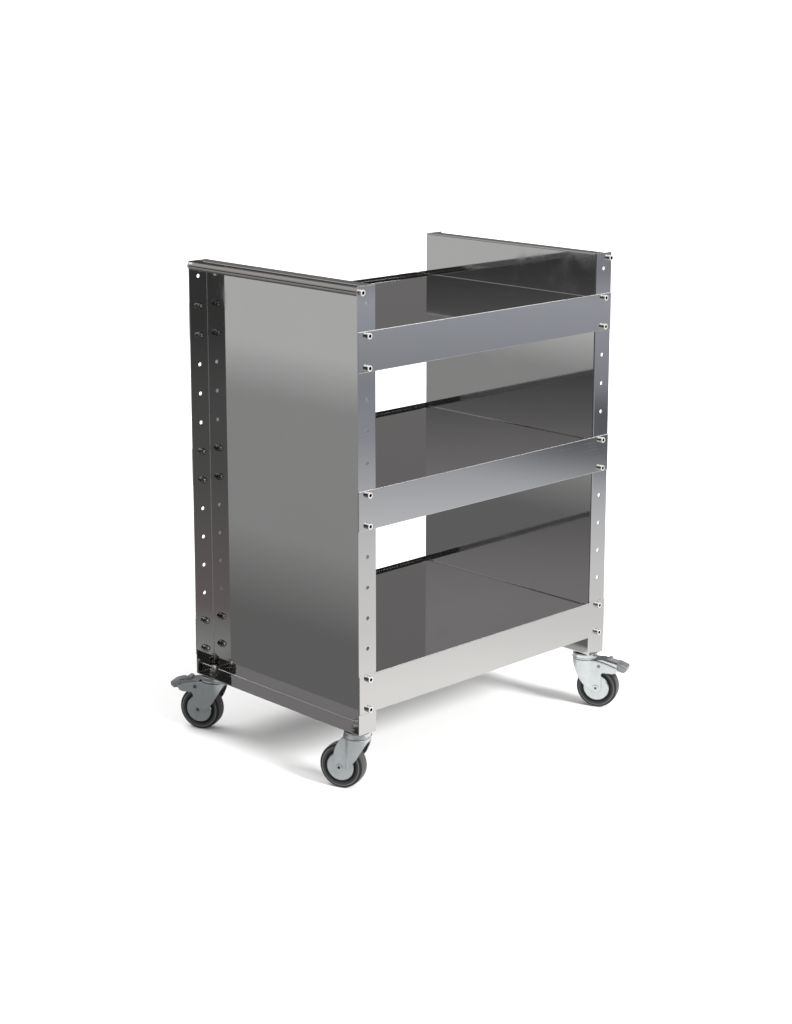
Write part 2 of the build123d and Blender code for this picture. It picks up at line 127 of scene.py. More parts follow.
def makePiece(name, forms, material, body, replaced, shade=None):
    # joins the forms into one mesh with its faces outwards, hangs it on its body and hides the CAD node
    # shade, when given, is one value per point, read by the material
    points, faces, start = [], [], 0
    for formPoints, formFaces in forms:
        inward = volumeOf(formPoints, formFaces) < 0
        for group in formFaces:
            faces += ((group[:, ::-1] if inward else group) + start).tolist()
        points.append(formPoints)
        start += len(formPoints)
    mesh = bpy.data.meshes.new(name)
    mesh.from_pydata(np.concatenate(points).tolist(), [], faces)
    mesh.update()
    mesh.polygons.foreach_set("use_smooth", np.ones(len(mesh.polygons), bool))
    mesh.set_sharp_from_angle(angle=math.radians(sharpAngle))
    if shade is not None:
        layer = mesh.attributes.new("shade", "FLOAT", "POINT")
        layer.data.foreach_set("value", np.asarray(shade, np.float32))
    mesh.materials.append(material)
    piece = bpy.data.objects.new(name, mesh)
    bpy.context.scene.collection.objects.link(piece)
    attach(piece, body)
    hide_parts(replaced)


# materials: a recipe is one material's nodes, and a wire is one of their outputs

class Wire:
    # arithmetic on a wire adds Math nodes to its recipe

    def __init__(self, recipe, socket):
        self.recipe = recipe
        self.socket = socket

    def operate(self, operation, first, second=0.0, clamped=False):
        settings = {"operation": operation, "use_clamp": clamped}
        return self.recipe.node("ShaderNodeMath", settings, {0: first, 1: second})

    def __add__(self, other):
        return self.operate("ADD", self, other)

    def __radd__(self, other):
        return self.operate("ADD", other, self)

    def __sub__(self, other):
        return self.operate("SUBTRACT", self, other)

    def __rsub__(self, other):
        return self.operate("SUBTRACT", other, self)

    def __mul__(self, other):
        return self.operate("MULTIPLY", self, other)

    def __rmul__(self, other):
        return self.operate("MULTIPLY", other, self)

    def __truediv__(self, other):
        return self.operate("DIVIDE", self, other)

    def __rtruediv__(self, other):
        return self.operate("DIVIDE", other, self)

    def __pow__(self, other):
        return self.operate("POWER", self, other)

    def __rpow__(self, other):
        return self.operate("POWER", other, self)

    def clamp(self):
        return self.operate("ADD", self, 0.0, clamped=True)

    def larger(self, other):
        return self.operate("MAXIMUM", self, other)


class Recipe:

    def __init__(self, name):
        self.material = bpy.data.materials.new(name)
        self.material.use_nodes = True
        self.tree = self.material.node_tree
        self.tree.nodes.clear()

    def node(self, kind, settings=None, sockets=None, out=0):
        made = self.tree.nodes.new(kind)
        for key, value in (settings or {}).items():
            if key == "stops":
                self.setStops(made.color_ramp, value)
            else:
                setattr(made, key, value)
        for key, value in (sockets or {}).items():
            if isinstance(value, Wire):
                self.tree.links.new(value.socket, made.inputs[key])
            else:
                made.inputs[key].default_value = value
        return Wire(self, made.outputs[out]) if len(made.outputs) else None

    def setStops(self, ramp, stops):
        ramp.elements.remove(ramp.elements[1])
        for number, (position, value) in enumerate(stops):
            element = ramp.elements.new(position) if number else ramp.elements[0]
            element.position = position
            element.color = (value, value, value, 1.0)

    def ramp(self, value, stops):
        # greys from a value, by stops of (position, grey)
        return self.node("ShaderNodeValToRGB", {"stops": stops}, {0: value})

    def times(self, vector, factors):
        return self.node("ShaderNodeVectorMath", {"operation": "MULTIPLY"}, {0: vector, 1: factors})

    def place(self, scale=(1.0, 1.0, 1.0), centre=(0.0, 0.0, 0.0), turn=(0.0, 0.0, 0.0)):
        # Object coordinates, moved to a centre, turned back by turn and then scaled
        here = self.node("ShaderNodeTexCoord", out="Object")
        settings = {"vector_type": "TEXTURE"}
        return self.times(self.node("ShaderNodeMapping", settings, {0: here, 1: centre, 2: turn}), scale)

    def axes(self, vector):
        # the three parts of a vector
        made = self.node("ShaderNodeSeparateXYZ", None, {0: vector})
        outputs = made.socket.node.outputs
        return made, Wire(self, outputs[1]), Wire(self, outputs[2])

    def noise(self, scale, detail=2.0, roughness=0.5, distortion=0.0, centre=(0.0, 0.0, 0.0)):
        # noise, its scale per metre: one number, or one for each of X, Y and Z
        spot = self.place(scale if isinstance(scale, tuple) else (scale, scale, scale), centre)
        sockets = {"Vector": spot, "Scale": 1.0, "Detail": detail}
        sockets.update({"Roughness": roughness, "Distortion": distortion})
        return self.node("ShaderNodeTexNoise", None, sockets)

    def step(self, value, low, high, toLow=0.0, toHigh=1.0):
        # smooth step of a value from toLow to toHigh between low and high
        settings = {"interpolation_type": "SMOOTHSTEP"}
        sockets = {0: value, 1: low, 2: high, 3: toLow, 4: toHigh}
        return self.node("ShaderNodeMapRange", settings, sockets)

    def mixColour(self, share, first, second):
        return self.node("ShaderNodeMix", {"data_type": "RGBA"}, {0: share, 6: first, 7: second}, out=2)

    def bevel(self, radius, samples):
        # a normal that rounds the edges by a radius in metres
        return self.node("ShaderNodeBevel", {"samples": samples}, {"Radius": radius})

    def bump(self, height, strength, distance, normal=None):
        sockets = {"Height": height, "Strength": strength, "Distance": distance}
        if normal is not None:
            sockets["Normal"] = normal
        return self.node("ShaderNodeBump", None, sockets)

    def finish(self, sockets):
        shader = self.node("ShaderNodeBsdfPrincipled", None, sockets)
        self.node("ShaderNodeOutputMaterial", None, {0: shader})
        return self.material


def colour(red, green, blue):
    return (red, green, blue, 1.0)


# the camera: place and reach in metres, angles in degrees, lens and sensor in millimetres,
# and the shift as a share of the sensor
cameraSetup = {
    "place": (-2.29576, -2.36163, 1.25117),
    "yaw": 43.97,
    "pitch": -11.69,
    "lens": 69.08,
    "sensor": 36.0,
    "shiftDown": 0.109,
    "reach": 60.0,
}


def makeCamera(setup):
    data = bpy.data.cameras.new("camera")
    data.lens = setup["lens"]
    data.sensor_width = setup["sensor"]
    data.shift_y = -setup["shiftDown"]
    data.clip_end = setup["reach"]
    camera = bpy.data.objects.new("camera", data)
    camera.location = setup["place"]
    camera.rotation_euler = (math.radians(90.0 + setup["pitch"]), 0.0, math.radians(-setup["yaw"]))
    bpy.context.scene.collection.objects.link(camera)
    bpy.context.scene.camera = camera


makeCamera(cameraSetup)
print("camera set")


# polished sheet: lines run along X on shelves and aprons, and up the side trays' flanges
sheetFinish = {
    "tint": colour(0.640, 0.636, 0.630),
    "cloudTint": colour(0.615, 0.612, 0.608),
    "cloudScale": (5.0, 5.0, 3.0),
    "smudgeScale": (11.0, 11.0, 7.0),
    "smudgeCentre": (3.1, 1.7, 0.4),
    "lineScale": {"x": (4.0, 900.0, 900.0), "z": (900.0, 4.0, 4.0)},
    "scratchSeed": 2.3,
    "scratchCut": 0.57,      # higher leaves fewer scratches
    "breakScale": 9.0,
    "roughness": 0.030,
    "smudgeRoughness": 0.045,
    "scratchRoughness": 0.10,
    "lineRoughness": 0.012,
    "waveScale": 3.0,
    "waviness": 0.012,
    "waveDepth": 0.02,
    "edgeRadius": {"x": 0.0014, "z": 0.0005},
}


def hairlines(recipe, finish, scale):
    # thin broken lines: noise stretched along one way, cut to its crest
    seed, cut = finish["scratchSeed"], finish["scratchCut"]
    lines = recipe.noise(scale, 3.0, 0.6, centre=(seed, seed * 0.7, seed * 0.3))
    breaks = recipe.noise(finish["breakScale"], centre=(seed, 0.0, seed))
    return recipe.step(lines, cut, cut + 0.05) * recipe.step(breaks, 0.5, 0.62)


def polishedSheet(name, finish, lineWay):
    # mirror sheet: faint polishing clouds, wiped smudges and hairline scratches
    recipe = Recipe(name)
    lineScale = finish["lineScale"][lineWay]
    clouds = recipe.noise(finish["cloudScale"], 3.0, 0.55)
    smudges = recipe.noise(finish["smudgeScale"], 5.0, 0.62, 1.2, finish["smudgeCentre"])
    smudge = recipe.step(smudges, 0.50, 0.72)
    scratches = hairlines(recipe, finish, lineScale)
    fineLines = recipe.noise(lineScale)
    tone = recipe.mixColour(clouds, finish["tint"], finish["cloudTint"])
    roughness = finish["roughness"] + smudge * finish["smudgeRoughness"]
    roughness = roughness + scratches * finish["scratchRoughness"] + fineLines * finish["lineRoughness"]
    waves = recipe.noise(finish["waveScale"], 1.0)
    soft = recipe.bevel(finish["edgeRadius"][lineWay], 6)
    wavy = recipe.bump(waves, finish["waviness"], finish["waveDepth"], soft)
    return recipe.finish({"Base Color": tone, "Metallic": 1.0, "Roughness": roughness, "Normal": wavy})


# handle bars, drawn along Y
barFinish = {
    "tint": colour(0.57, 0.56, 0.55),
    "lineScale": (900.0, 6.0, 900.0),
    "markScale": 30.0,
    "roughness": 0.06,
    "markRoughness": 0.06,
    "lineRoughness": 0.05,
    "lineStrength": 0.06,
    "lineDepth": 0.0002,
}


def polishedBar(name, finish):
    # drawn bar: fine lines and a few handling marks
    recipe = Recipe(name)
    lines = recipe.noise(finish["lineScale"], 3.0, 0.6)
    marks = recipe.step(recipe.noise(finish["markScale"], 4.0, 0.6), 0.5, 0.75)
    roughness = finish["roughness"] + marks * finish["markRoughness"] + lines * finish["lineRoughness"]
    grain = recipe.bump(lines, finish["lineStrength"], finish["lineDepth"])
    sockets = {"Base Color": finish["tint"], "Metallic": 1.0, "Roughness": roughness, "Normal": grain}
    return recipe.finish(sockets)


# screws, and then nuts, washers and pedal pins; the last three get a dark tint that is painted shade for
# the dark surroundings they mirror
screwFinish = {
    "tint": colour(0.58, 0.57, 0.555),
    "stain": colour(0.40, 0.39, 0.375),
    "faced": colour(0.50, 0.495, 0.485),
    # painted shade: the socket's near-black colour stands for the shade in its hollow
    "socket": colour(0.03, 0.03, 0.03),
    "roughness": 0.13,
    "stainRoughness": 0.14,
    "markRoughness": 0.06,
    "facedRoughness": 0.15,
    "socketRoughness": 0.30,
    "facedDull": 0.5,        # how much less metallic the faced end is
    "stainScale": 260.0,
    "markScale": (700.0, 4000.0, 700.0),
    "markDepth": 0.0001,
}
shadedNutFinish = {
    **screwFinish,
    # painted shade: this dark tint stands in for the dark that these parts mirror
    "tint": colour(0.30, 0.30, 0.30),
    "stain": colour(0.16, 0.155, 0.15),
    "roughness": 0.20,
}


def machinedSteel(name, finish, shaded=False):
    # turned parts: fine tool marks and small stains
    # a shaded one reads its points' shade: 1 is the bright faced end, -1 the socket, painted near black as
    # shade in its hollow
    recipe = Recipe(name)
    stain = recipe.step(recipe.noise(finish["stainScale"], 4.0, 0.6), 0.52, 0.74)
    marks = recipe.noise(finish["markScale"])
    tone = recipe.mixColour(stain, finish["tint"], finish["stain"])
    roughness = finish["roughness"] + stain * finish["stainRoughness"] + marks * finish["markRoughness"]
    cut = recipe.bump(marks, 0.15, finish["markDepth"])
    metallic = 1.0
    if shaded:
        shade = recipe.node("ShaderNodeAttribute", {"attribute_name": "shade"}, out="Fac")
        faced = recipe.step(shade, 0.1, 0.6)
        # painted shade: the socket hollow is darkened to near black
        socketShade = recipe.step(shade, -0.6, -0.1, 1.0, 0.0)
        tone = recipe.mixColour(faced, tone, finish["faced"])
        tone = recipe.mixColour(socketShade, tone, finish["socket"])
        metallic = 1.0 - faced * finish["facedDull"]
        roughness = roughness + faced * finish["facedRoughness"] + socketShade * finish["socketRoughness"]
    return recipe.finish({"Base Color": tone, "Metallic": metallic, "Roughness": roughness, "Normal": cut})


# zinc plate: plain on forks and guards, bright on upper races and levers, turned on axles
zincFinish = {
    "light": colour(0.70, 0.735, 0.745),
    "dark": colour(0.56, 0.595, 0.61),
    "handled": colour(0.42, 0.425, 0.42),
    "metallic": 0.91,
    "roughness": 0.20,
    "spangleScale": 230.0,
    "cloudScale": 45.0,
    "rubScale": 120.0,
    "skinScale": 900.0,
    "skinDepth": 0.0002,
    "edgeRadius": 0.0024,
}
brightZinc = {
    **zincFinish,
    "light": colour(0.80, 0.825, 0.83),
    "metallic": 1.0,
    "roughness": 0.09,
    "edgeRadius": 0.0006,
}
turnedZinc = {**brightZinc, "edgeRadius": 0.0003}


def zincPlate(name, finish):
    # bright zinc on pressed steel: a fine spangle, cloudy passivation and rubbed spots
    recipe = Recipe(name)
    spangle = {"Vector": recipe.place(), "Scale": finish["spangleScale"]}
    grain, _, _ = recipe.axes(recipe.node("ShaderNodeTexVoronoi", None, spangle, out="Color"))
    clouds = recipe.noise(finish["cloudScale"], 4.0, 0.6)
    rubbed = recipe.step(recipe.noise(finish["rubScale"], 5.0, 0.7), 0.60, 0.74)
    share = (grain * 0.12 + clouds * 0.85).clamp()
    tone = recipe.mixColour(share, finish["light"], finish["dark"])
    tone = recipe.mixColour(rubbed * 0.25, tone, finish["handled"])
    roughness = finish["roughness"] + (grain - 0.5) * 0.04 + (clouds - 0.5) * 0.10
    skin = recipe.noise(finish["skinScale"]) + grain * 0.4
    plated = recipe.bump(skin, 0.03, finish["skinDepth"], recipe.bevel(finish["edgeRadius"], 4))
    sockets = {"Base Color": tone, "Metallic": finish["metallic"], "Roughness": roughness, "Normal": plated}
    return recipe.finish(sockets)


# balls and lower races
ballFinish = {
    # painted shade: both greys are dark to stand in for the shaded gap under the upper race
    "tint": colour(0.26, 0.255, 0.25),
    "oiled": colour(0.10, 0.095, 0.085),
    "filmScale": 300.0,
    "roughness": 0.10,
    "filmRoughness": 0.12,
}


def bearingSteel(name, finish):
    # hard steel, its tint painted dark as shade of the gap under the upper race, with random darker,
    # rougher patches
    recipe = Recipe(name)
    film = recipe.noise(finish["filmScale"], 3.0)
    tone = recipe.mixColour(recipe.step(film, 0.45, 0.7), finish["tint"], finish["oiled"])
    roughness = finish["roughness"] + film * finish["filmRoughness"]
    return recipe.finish({"Base Color": tone, "Metallic": 1.0, "Roughness": roughness})


# hubs, brake shoes and pedal treads
nylonFinish = {
    "tint": colour(0.006, 0.006, 0.0065),
    "worn": colour(0.025, 0.025, 0.025),
    "roughness": 0.42,
    "grain": 0.2,
    "grainScale": 2200.0,
    "grainDepth": 0.0002,
    "rubScale": 180.0,
    "metallic": 0.0,
}
treadFinish = {
    **nylonFinish,
    "tint": colour(0.27, 0.28, 0.29),
    "worn": colour(0.40, 0.40, 0.395),
    "roughness": 0.23,
    "grain": 0.35,
    "metallic": 0.75,
}


def mouldedPlastic(name, finish):
    # injection moulded plastic: a fine spark-eroded grain and pale rubbed spots
    recipe = Recipe(name)
    grain = recipe.noise(finish["grainScale"])
    rubs = recipe.noise(finish["rubScale"], 5.0, 0.65)
    tone = recipe.mixColour(recipe.step(rubs, 0.52, 0.74) * 0.6, finish["tint"], finish["worn"])
    roughness = finish["roughness"] + (rubs - 0.5) * 0.25
    skin = recipe.bump(grain, finish["grain"], finish["grainDepth"])
    sockets = {"Base Color": tone, "Roughness": roughness, "Normal": skin}
    return recipe.finish({**sockets, "Specular IOR Level": 0.35, "Metallic": finish["metallic"]})


sheetAlongX = polishedSheet("polishedSheetAcross", sheetFinish, "x")
sheetAlongZ = polishedSheet("polishedSheetUpright", sheetFinish, "z")
barSteel = polishedBar("polishedBar", barFinish)
screwSteel = machinedSteel("stainlessFasteners", screwFinish)
screwHeads = machinedSteel("stainlessScrews", screwFinish, True)
nutSteel = machinedSteel("lockNuts", shadedNutFinish)
zincPressed = zincPlate("zincPlate", zincFinish)
zincBright = zincPlate("zincPlateBright", brightZinc)
zincTurned = zincPlate("zincFasteners", turnedZinc)
ballSteel = bearingSteel("bearingSteel", ballFinish)
blackNylon = mouldedPlastic("blackNylon", nylonFinish)
greyTread = mouldedPlastic("greyTread", treadFinish)

cadMaterials = {
    "side_panel": sheetAlongZ,
    "apron": sheetAlongX,
    "shelf": sheetAlongX,
    "handle_bar": barSteel,
    "apron_screws": screwSteel,
    "handle_screws": screwSteel,
    "apron_washers": nutSteel,
    "apron_nuts": nutSteel,
    "stem_bolts": screwSteel,
    "stem_washers": screwSteel,
    "stem_nuts": screwSteel,
    "swivel_balls": ballSteel,
    "lower_race": ballSteel,
    "upper_race": zincBright,
    "fork": zincPressed,
    "axle": zincTurned,
    "thread_guards": zincPressed,
    "pedal_pin": nutSteel,
    "pedal_lever": zincBright,
    "wheel_hub": blackNylon,
    "tyre": blackNylon,
    "brake_shoe": blackNylon,
    "pedal_pad": greyTread,
}
for nodeName, node in frame["nodes"].items():
    ending = max((key for key in cadMaterials if nodeName.endswith(key)), key=len)
    for materialSlot in node.material_slots:
        materialSlot.material = cadMaterials[ending]
print("materials assigned")


# tyres: a profile carried round the axle, with a fine parting rib on the tread
tyreShape = {
    "columns": 120,
    "tread": 37.5,
    "partingHalf": 0.35,
    "partingHeight": 0.12,
    "crownHalf": 8.6,
    "crownPoints": 6,
    "crownFall": 0.006,      # per square millimetre from the middle
    "shoulderWidth": 2.8,
    "shoulderDrop": 2.5,
    "shoulderPoints": 9,
    "step": 33.0,
    "sideHalf": 12.0,
    "groove": 30.8,
    "grooveDepth": 0.14,
    "seat": 27.5,
    "seatHalf": 10.9,
}
rubberFinish = {
    "side": colour(0.022, 0.023, 0.024),
    # painted highlight: the pale ring on the side, just inside the step
    "ring": colour(0.110, 0.112, 0.115),
    # painted shade: the shoulder and tread are near black for the shade of the rounded shoulder
    "edge": colour(0.008, 0.008, 0.0085),
    "dust": colour(0.13, 0.125, 0.115),
    "roughness": 0.40,
    "scuffRoughness": 0.3,
    "rolledRoughness": 0.15,
    "sheen": 0.20,
    "scuffScale": 260.0,
    "speckScale": 1500.0,
    "mouldRings": 320.0,
    "mouldDepth": 0.0002,
}


def wheelPlace(recipe, joint):
    # coordinates about a wheel: its axle is the third one
    turn = Vector(joint["axis"]).to_track_quat("Z", "Y").to_euler()
    return recipe.place(centre=tuple(joint["pos_m"]), turn=tuple(turn))


def tyreRubber(name, finish, joint):
    # a dark grey side with a painted highlight ring, the shoulder and tread painted near black as shade,
    # scuffs, and dust where it rolls
    recipe = Recipe(name)
    x, y, _ = recipe.axes(wheelPlace(recipe, joint))
    radius = (x * x + y * y) ** 0.5
    stepRadius = tyreShape["step"] * millimetre
    treadRadius = tyreShape["tread"] * millimetre
    shoulder = recipe.step(radius, stepRadius, stepRadius + 0.0007)
    rolled = recipe.step(radius, treadRadius - 0.0010, treadRadius - 0.0002)
    # painted highlight: a pale band on the side just inside the step
    highlightRing = recipe.step(radius, stepRadius - 0.0016, stepRadius - 0.0011)
    highlightRing = highlightRing * recipe.step(radius, stepRadius - 0.0007, stepRadius - 0.0001, 1.0, 0.0)
    scuffs = recipe.noise(finish["scuffScale"], 5.0, 0.7)
    specks = recipe.noise(finish["speckScale"])
    # painted shade: the shoulder and tread are darkened to near black
    tone = recipe.mixColour(shoulder, finish["side"], finish["edge"])
    tone = recipe.mixColour(highlightRing, tone, finish["ring"])
    onTread = rolled * (0.20 + recipe.step(scuffs, 0.45, 0.75) * 0.20)
    dusty = onTread + recipe.step(scuffs, 0.62, 0.8) * 0.12
    tone = recipe.mixColour(dusty.clamp(), tone, finish["dust"])
    roughness = finish["roughness"] + (scuffs - 0.5) * finish["scuffRoughness"]
    roughness = roughness + rolled * finish["rolledRoughness"]
    settings = {"wave_type": "RINGS", "rings_direction": "SPHERICAL"}
    sockets = {"Vector": wheelPlace(recipe, joint), "Scale": finish["mouldRings"], "Distortion": 0.0}
    rings = recipe.node("ShaderNodeTexWave", settings, sockets)
    moulded = recipe.bump(specks * 0.5 + rings * 0.12, 0.25, finish["mouldDepth"])
    sockets = {"Base Color": tone, "Roughness": roughness, "Normal": moulded, "Specular IOR Level": 0.5}
    return recipe.finish({**sockets, "Sheen Weight": finish["sheen"], "Sheen Roughness": 0.4})


def tyreProfile(shape):
    # half profile from the tread's middle to the seat, as (half width, radius), then mirrored
    rib, side, step = shape["partingHalf"], shape["sideHalf"], shape["step"]
    crownHalf, groove, seat = shape["crownHalf"], shape["groove"], shape["seat"]
    ground = shape["tread"] - shape["partingHeight"]
    half = [(0.0, shape["tread"]), (rib, shape["tread"]), (rib * 1.6, ground)]
    # the crown falls with the square of the distance from the middle
    crown = np.linspace(rib * 2.0, crownHalf, shape["crownPoints"])[1:]
    half += [(x, ground - shape["crownFall"] * x * x) for x in crown]
    # the shoulder is a quarter of an ellipse down to the side's upper edge
    top = half[-1][1]
    for turn in np.linspace(0.0, math.pi / 2, shape["shoulderPoints"])[1:]:
        out, down = math.sin(turn), 1.0 - math.cos(turn)
        half.append((crownHalf + shape["shoulderWidth"] * out, top - shape["shoulderDrop"] * down))
    half += [(side - 0.6, step + 0.7), (side - 0.25, step + 0.15), (side, step - 0.4)]
    bottom = side - shape["grooveDepth"]
    half += [(side, groove + 0.4), (bottom, groove + 0.2), (bottom, groove - 0.2), (side, groove - 0.4)]
    half += [(side, seat + 1.4), (side - 0.3, seat + 0.7), (shape["seatHalf"], seat)]
    half = np.array(half)
    mirrored = half[:0:-1] * (-1.0, 1.0)
    return np.concatenate([half, mirrored])


def revolved(profile, columns, joint):
    # (along, radius) turned about a joint's axis
    along, radius = profile[:, :1] * millimetre, profile[:, 1:] * millimetre
    return placed(roundRings(radius, roundAngles(columns), along), joint["pos_m"], joint["axis"])


for corner in corners:
    roll = joints[f"{corner}_wheel_roll"]
    makePiece(
        f"{corner}_moulded_tyre",
        [ringForm(revolved(tyreProfile(tyreShape), tyreShape["columns"], roll))],
        tyreRubber(f"tyreRubber_{corner}", rubberFinish, roll),
        f"{corner}_wheel",
        f"{corner}_tyre",
    )
print("tyres made:", len(corners))


# hexagons and threads, for the screws and the caster stems

def hexReach(radius, angle, share):
    # a radius that goes over to that of a hexagon, its flats at the radius, as share goes from 0 to 1
    sector = np.mod(angle, math.pi / 3) - math.pi / 6
    return radius * (1.0 - share) + share * radius / np.cos(sector)


def threadGroove(height, angle, pitch):
    # 0 on a crest and 1 in a root: a triangle wave of height over pitch plus the share of a turn
    phase = np.mod(height / pitch + angle / fullTurn, 1.0)
    return 1.0 - np.abs(2.0 * phase - 1.0)


# socket screws: the underside of the head is at height 0
screwShape = {
    "columns": 60,
    "head": 5.0,
    "headHeight": 6.0,
    "socket": 2.5,
    "socketDepth": 3.0,
    "shank": 3.0,
    "length": 12.0,
    "pitch": 1.0,
    "threadDepth": 0.45,
    "threadLength": 4.0,
    "plainTurns": 0.6,       # the thread stops this many turns above the tip
    "rowsPerTurn": 5,
    "knurlDepth": 0.16,
    "holePitch": 50.0,
}


def screwRings(shape):
    # rows of (radius, height, hexagon, knurl and thread shares, shade) from the socket to the tip:
    # the head's upper edge is rounded, and its knurl stops short of both ends
    head, tall, socket, shank = shape["head"], shape["headHeight"], shape["socket"], shape["shank"]
    floor = tall - shape["socketDepth"]
    rows = [(socket * 0.25, floor - 0.5, 0, 0, 0, -1), (socket, floor, 1, 0, 0, -1)]
    rows += [(socket, tall - 0.35, 1, 0, 0, -1), (socket + 0.25, tall, 0.6, 0, 0, 1)]
    rows += [(head - 0.9, tall, 0, 0, 0, 1), (head - 0.35, tall - 0.1, 0, 0, 0, 1)]
    rows += [(head - 0.08, tall - 0.4, 0, 0, 0, 1), (head, tall - 0.7, 0, 0, 0, 0)]
    rows += [(head, tall - 1.0, 0, 1, 0, 0), (head, 1.0, 0, 1, 0, 0)]
    rows += [(head, 0.7, 0, 0, 0, 0), (head, 0.25, 0, 0, 0, 0), (head - 0.2, 0.0, 0, 0, 0, 0)]
    threadStart = shape["threadLength"] - shape["length"]
    rows += [(shank, 0.0, 0, 0, 0, 0), (shank, threadStart, 0, 0, 0, 0)]
    turns = shape["threadLength"] / shape["pitch"] - shape["plainTurns"]
    for down in np.linspace(0.0, turns * shape["pitch"], int(turns * shape["rowsPerTurn"])):
        rows.append((shank, threadStart - down, 0, 0, 1, 0))
    rows += [(shank - 0.6, 0.05 - shape["length"], 0, 0, 0, 0), (shank - 0.7, -shape["length"], 0, 0, 0, 0)]
    table = np.array(rows, float)
    radius, height, hexShare, knurl, thread = (table[:, i : i + 1] for i in range(5))
    # one shade per point, with the two poles' own at the end
    shade = np.append(np.repeat(table[:, 5], shape["columns"]), (-1.0, 0.0))
    angle = roundAngles(shape["columns"])
    # the knurl is a cosine, deepest at every other column
    notch = 0.5 - 0.5 * np.cos(angle * shape["columns"] / 2)
    reach = hexReach(radius, angle, hexShare) - knurl * shape["knurlDepth"] * notch
    reach = reach - thread * shape["threadDepth"] * threadGroove(height, angle, shape["pitch"])
    return roundRings(reach, angle, height) * millimetre, shade


def screwSeats(node):
    # x and y under the heads of a group's four columns of screws, from the group's own box
    low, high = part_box(node)
    half = screwShape["head"] * millimetre
    inwards = screwShape["headHeight"] * millimetre
    return [(x, y) for x in (low[0] + half, high[0] - half) for y in (low[1] + inwards, high[1] - inwards)]


def screwForm(rings, x, y, z):
    # one screw, its head on the outside of the front or the rear flange
    return cappedForm(placed(rings, (x, y, z), (0.0, math.copysign(1.0, y), 0.0)))


def middleHeight(node):
    low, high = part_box(node)
    return (low[2] + high[2]) / 2


def makeScrews(name, forms, shade, replaced):
    shades = np.tile(shade, len(forms))
    makePiece(name, forms, screwHeads, "cart", replaced, shades)


screwGrid, screwShade = screwRings(screwShape)
halfPitch = screwShape["holePitch"] * millimetre / 2
apronScrews = []
for x, y in screwSeats("apron_screws"):
    for shelf in ("lower", "middle", "top"):
        middle = middleHeight(f"{shelf}_front_apron")
        apronScrews += [screwForm(screwGrid, x, y, z) for z in (middle - halfPitch, middle + halfPitch)]
barHeight = middleHeight("left_handle_bar")
handleScrews = [screwForm(screwGrid, x, y, barHeight) for x, y in screwSeats("handle_screws")]
makeScrews("knurled_apron_screws", apronScrews, screwShade, "apron_screws")
makeScrews("knurled_handle_screws", handleScrews, screwShade, "handle_screws")
print("screws made:", len(apronScrews) + len(handleScrews))


# caster stems: a hexagon head, a plain shank and a rolled thread, at heights above the floor
stemShape = {
    "columns": 48,
    "radius": 5.0,
    "headFlats": 8.0,
    "headLow": 76.0,
    "headTop": 82.3,
    "threadLow": 99.0,
    "top": 116.0,
    "pitch": 1.5,
    "threadDepth": 0.7,
    "rowsPerTurn": 6,
}


def stemRings(shape):
    # rows of (radius, height, hexagon share, thread share) from the head's underside to the tip
    flats, shank, top = shape["headFlats"], shape["radius"], shape["top"]
    rows = [(flats - 1.0, shape["headLow"], 0, 0), (flats, shape["headLow"] + 0.5, 1, 0)]
    rows += [(flats, shape["headTop"], 1, 0), (shank, shape["headTop"], 0, 0)]
    threadTop = top - 0.9
    count = int((threadTop - shape["threadLow"]) / shape["pitch"] * shape["rowsPerTurn"])
    rows += [(shank, height, 0, 1) for height in np.linspace(shape["threadLow"], threadTop, count)]
    rows += [(shank - 0.9, top - 0.1, 0, 0), (shank - 1.1, top, 0, 0)]
    table = np.array(rows, float)
    radius, height, hexShare, thread = (table[:, i : i + 1] for i in range(4))
    angle = roundAngles(shape["columns"])
    groove = thread * shape["threadDepth"] * threadGroove(height, angle, shape["pitch"])
    return roundRings(hexReach(radius, angle, hexShare) - groove, angle, height) * millimetre


stems = []
for corner in corners:
    x, y, _ = joints[f"{corner}_swivel_turn"]["pos_m"]
    stems.append(cappedForm(stemRings(stemShape) + np.array((x, y, 0.0))))
makePiece("threaded_stems", stems, screwSteel, "cart", "stem_bolts")
print("stems made:", len(stems))


# studio: a white floor, and two cards, a floor and a dome, that only the polished metal sees; the cards
# glow with painted reflections and are no lamps
studio = {
    "floorSize": 14.0,
    "floorTint": colour(0.68, 0.68, 0.68),
    "floorCloud": colour(0.69, 0.69, 0.685),
    "worldStrength": 1.14,
    "cardHeight": -0.001,
    "domeRadius": 9.0,
    "domeDip": 0.02,
    "domeGrid": (24, 64),    # rows and columns
    "nearNothing": 0.001,    # keeps a direction from being divided by zero
}
# the floor card's greys by distance, as shares of its reach; leftRear's are by distance along -X
floorTones = {
    "reach": 6.0,
    "leftRear": [(0.12, 0.168), (0.19, 0.342), (0.36, 0.345), (0.46, 0.60), (1.0, 0.60)],
    "front": [
        (0.0, 0.92), (0.09, 0.86), (0.14, 0.72), (0.21, 0.672), (0.26, 0.592), (0.33, 0.45),
        (0.42, 0.31), (0.55, 0.264), (0.70, 0.328), (0.85, 0.376), (0.95, 0.288), (1.0, 0.248),
    ],
    "camera": [
        (0.0, 0.60), (0.05, 0.58), (0.09, 0.46), (0.125, 0.25), (0.17, 0.225), (0.30, 0.165),
        (0.48, 0.14), (0.70, 0.08), (1.0, 0.07),
    ],
    "rear": [(0.0, 0.5), (0.15, 0.55), (0.4, 0.45), (1.0, 0.32)],
    "cameraWay": (-0.819, -0.574),      # a direction on the floor
    "flag": (2.1, -1.6),                # a place on the floor
    "frontNear": colour(1.0, 0.99, 0.975),
    "frontFar": colour(0.94, 0.98, 1.08),
    "plain": colour(1.0, 1.0, 1.0),
    "cameraWarm": colour(1.1, 0.98, 0.98),
}
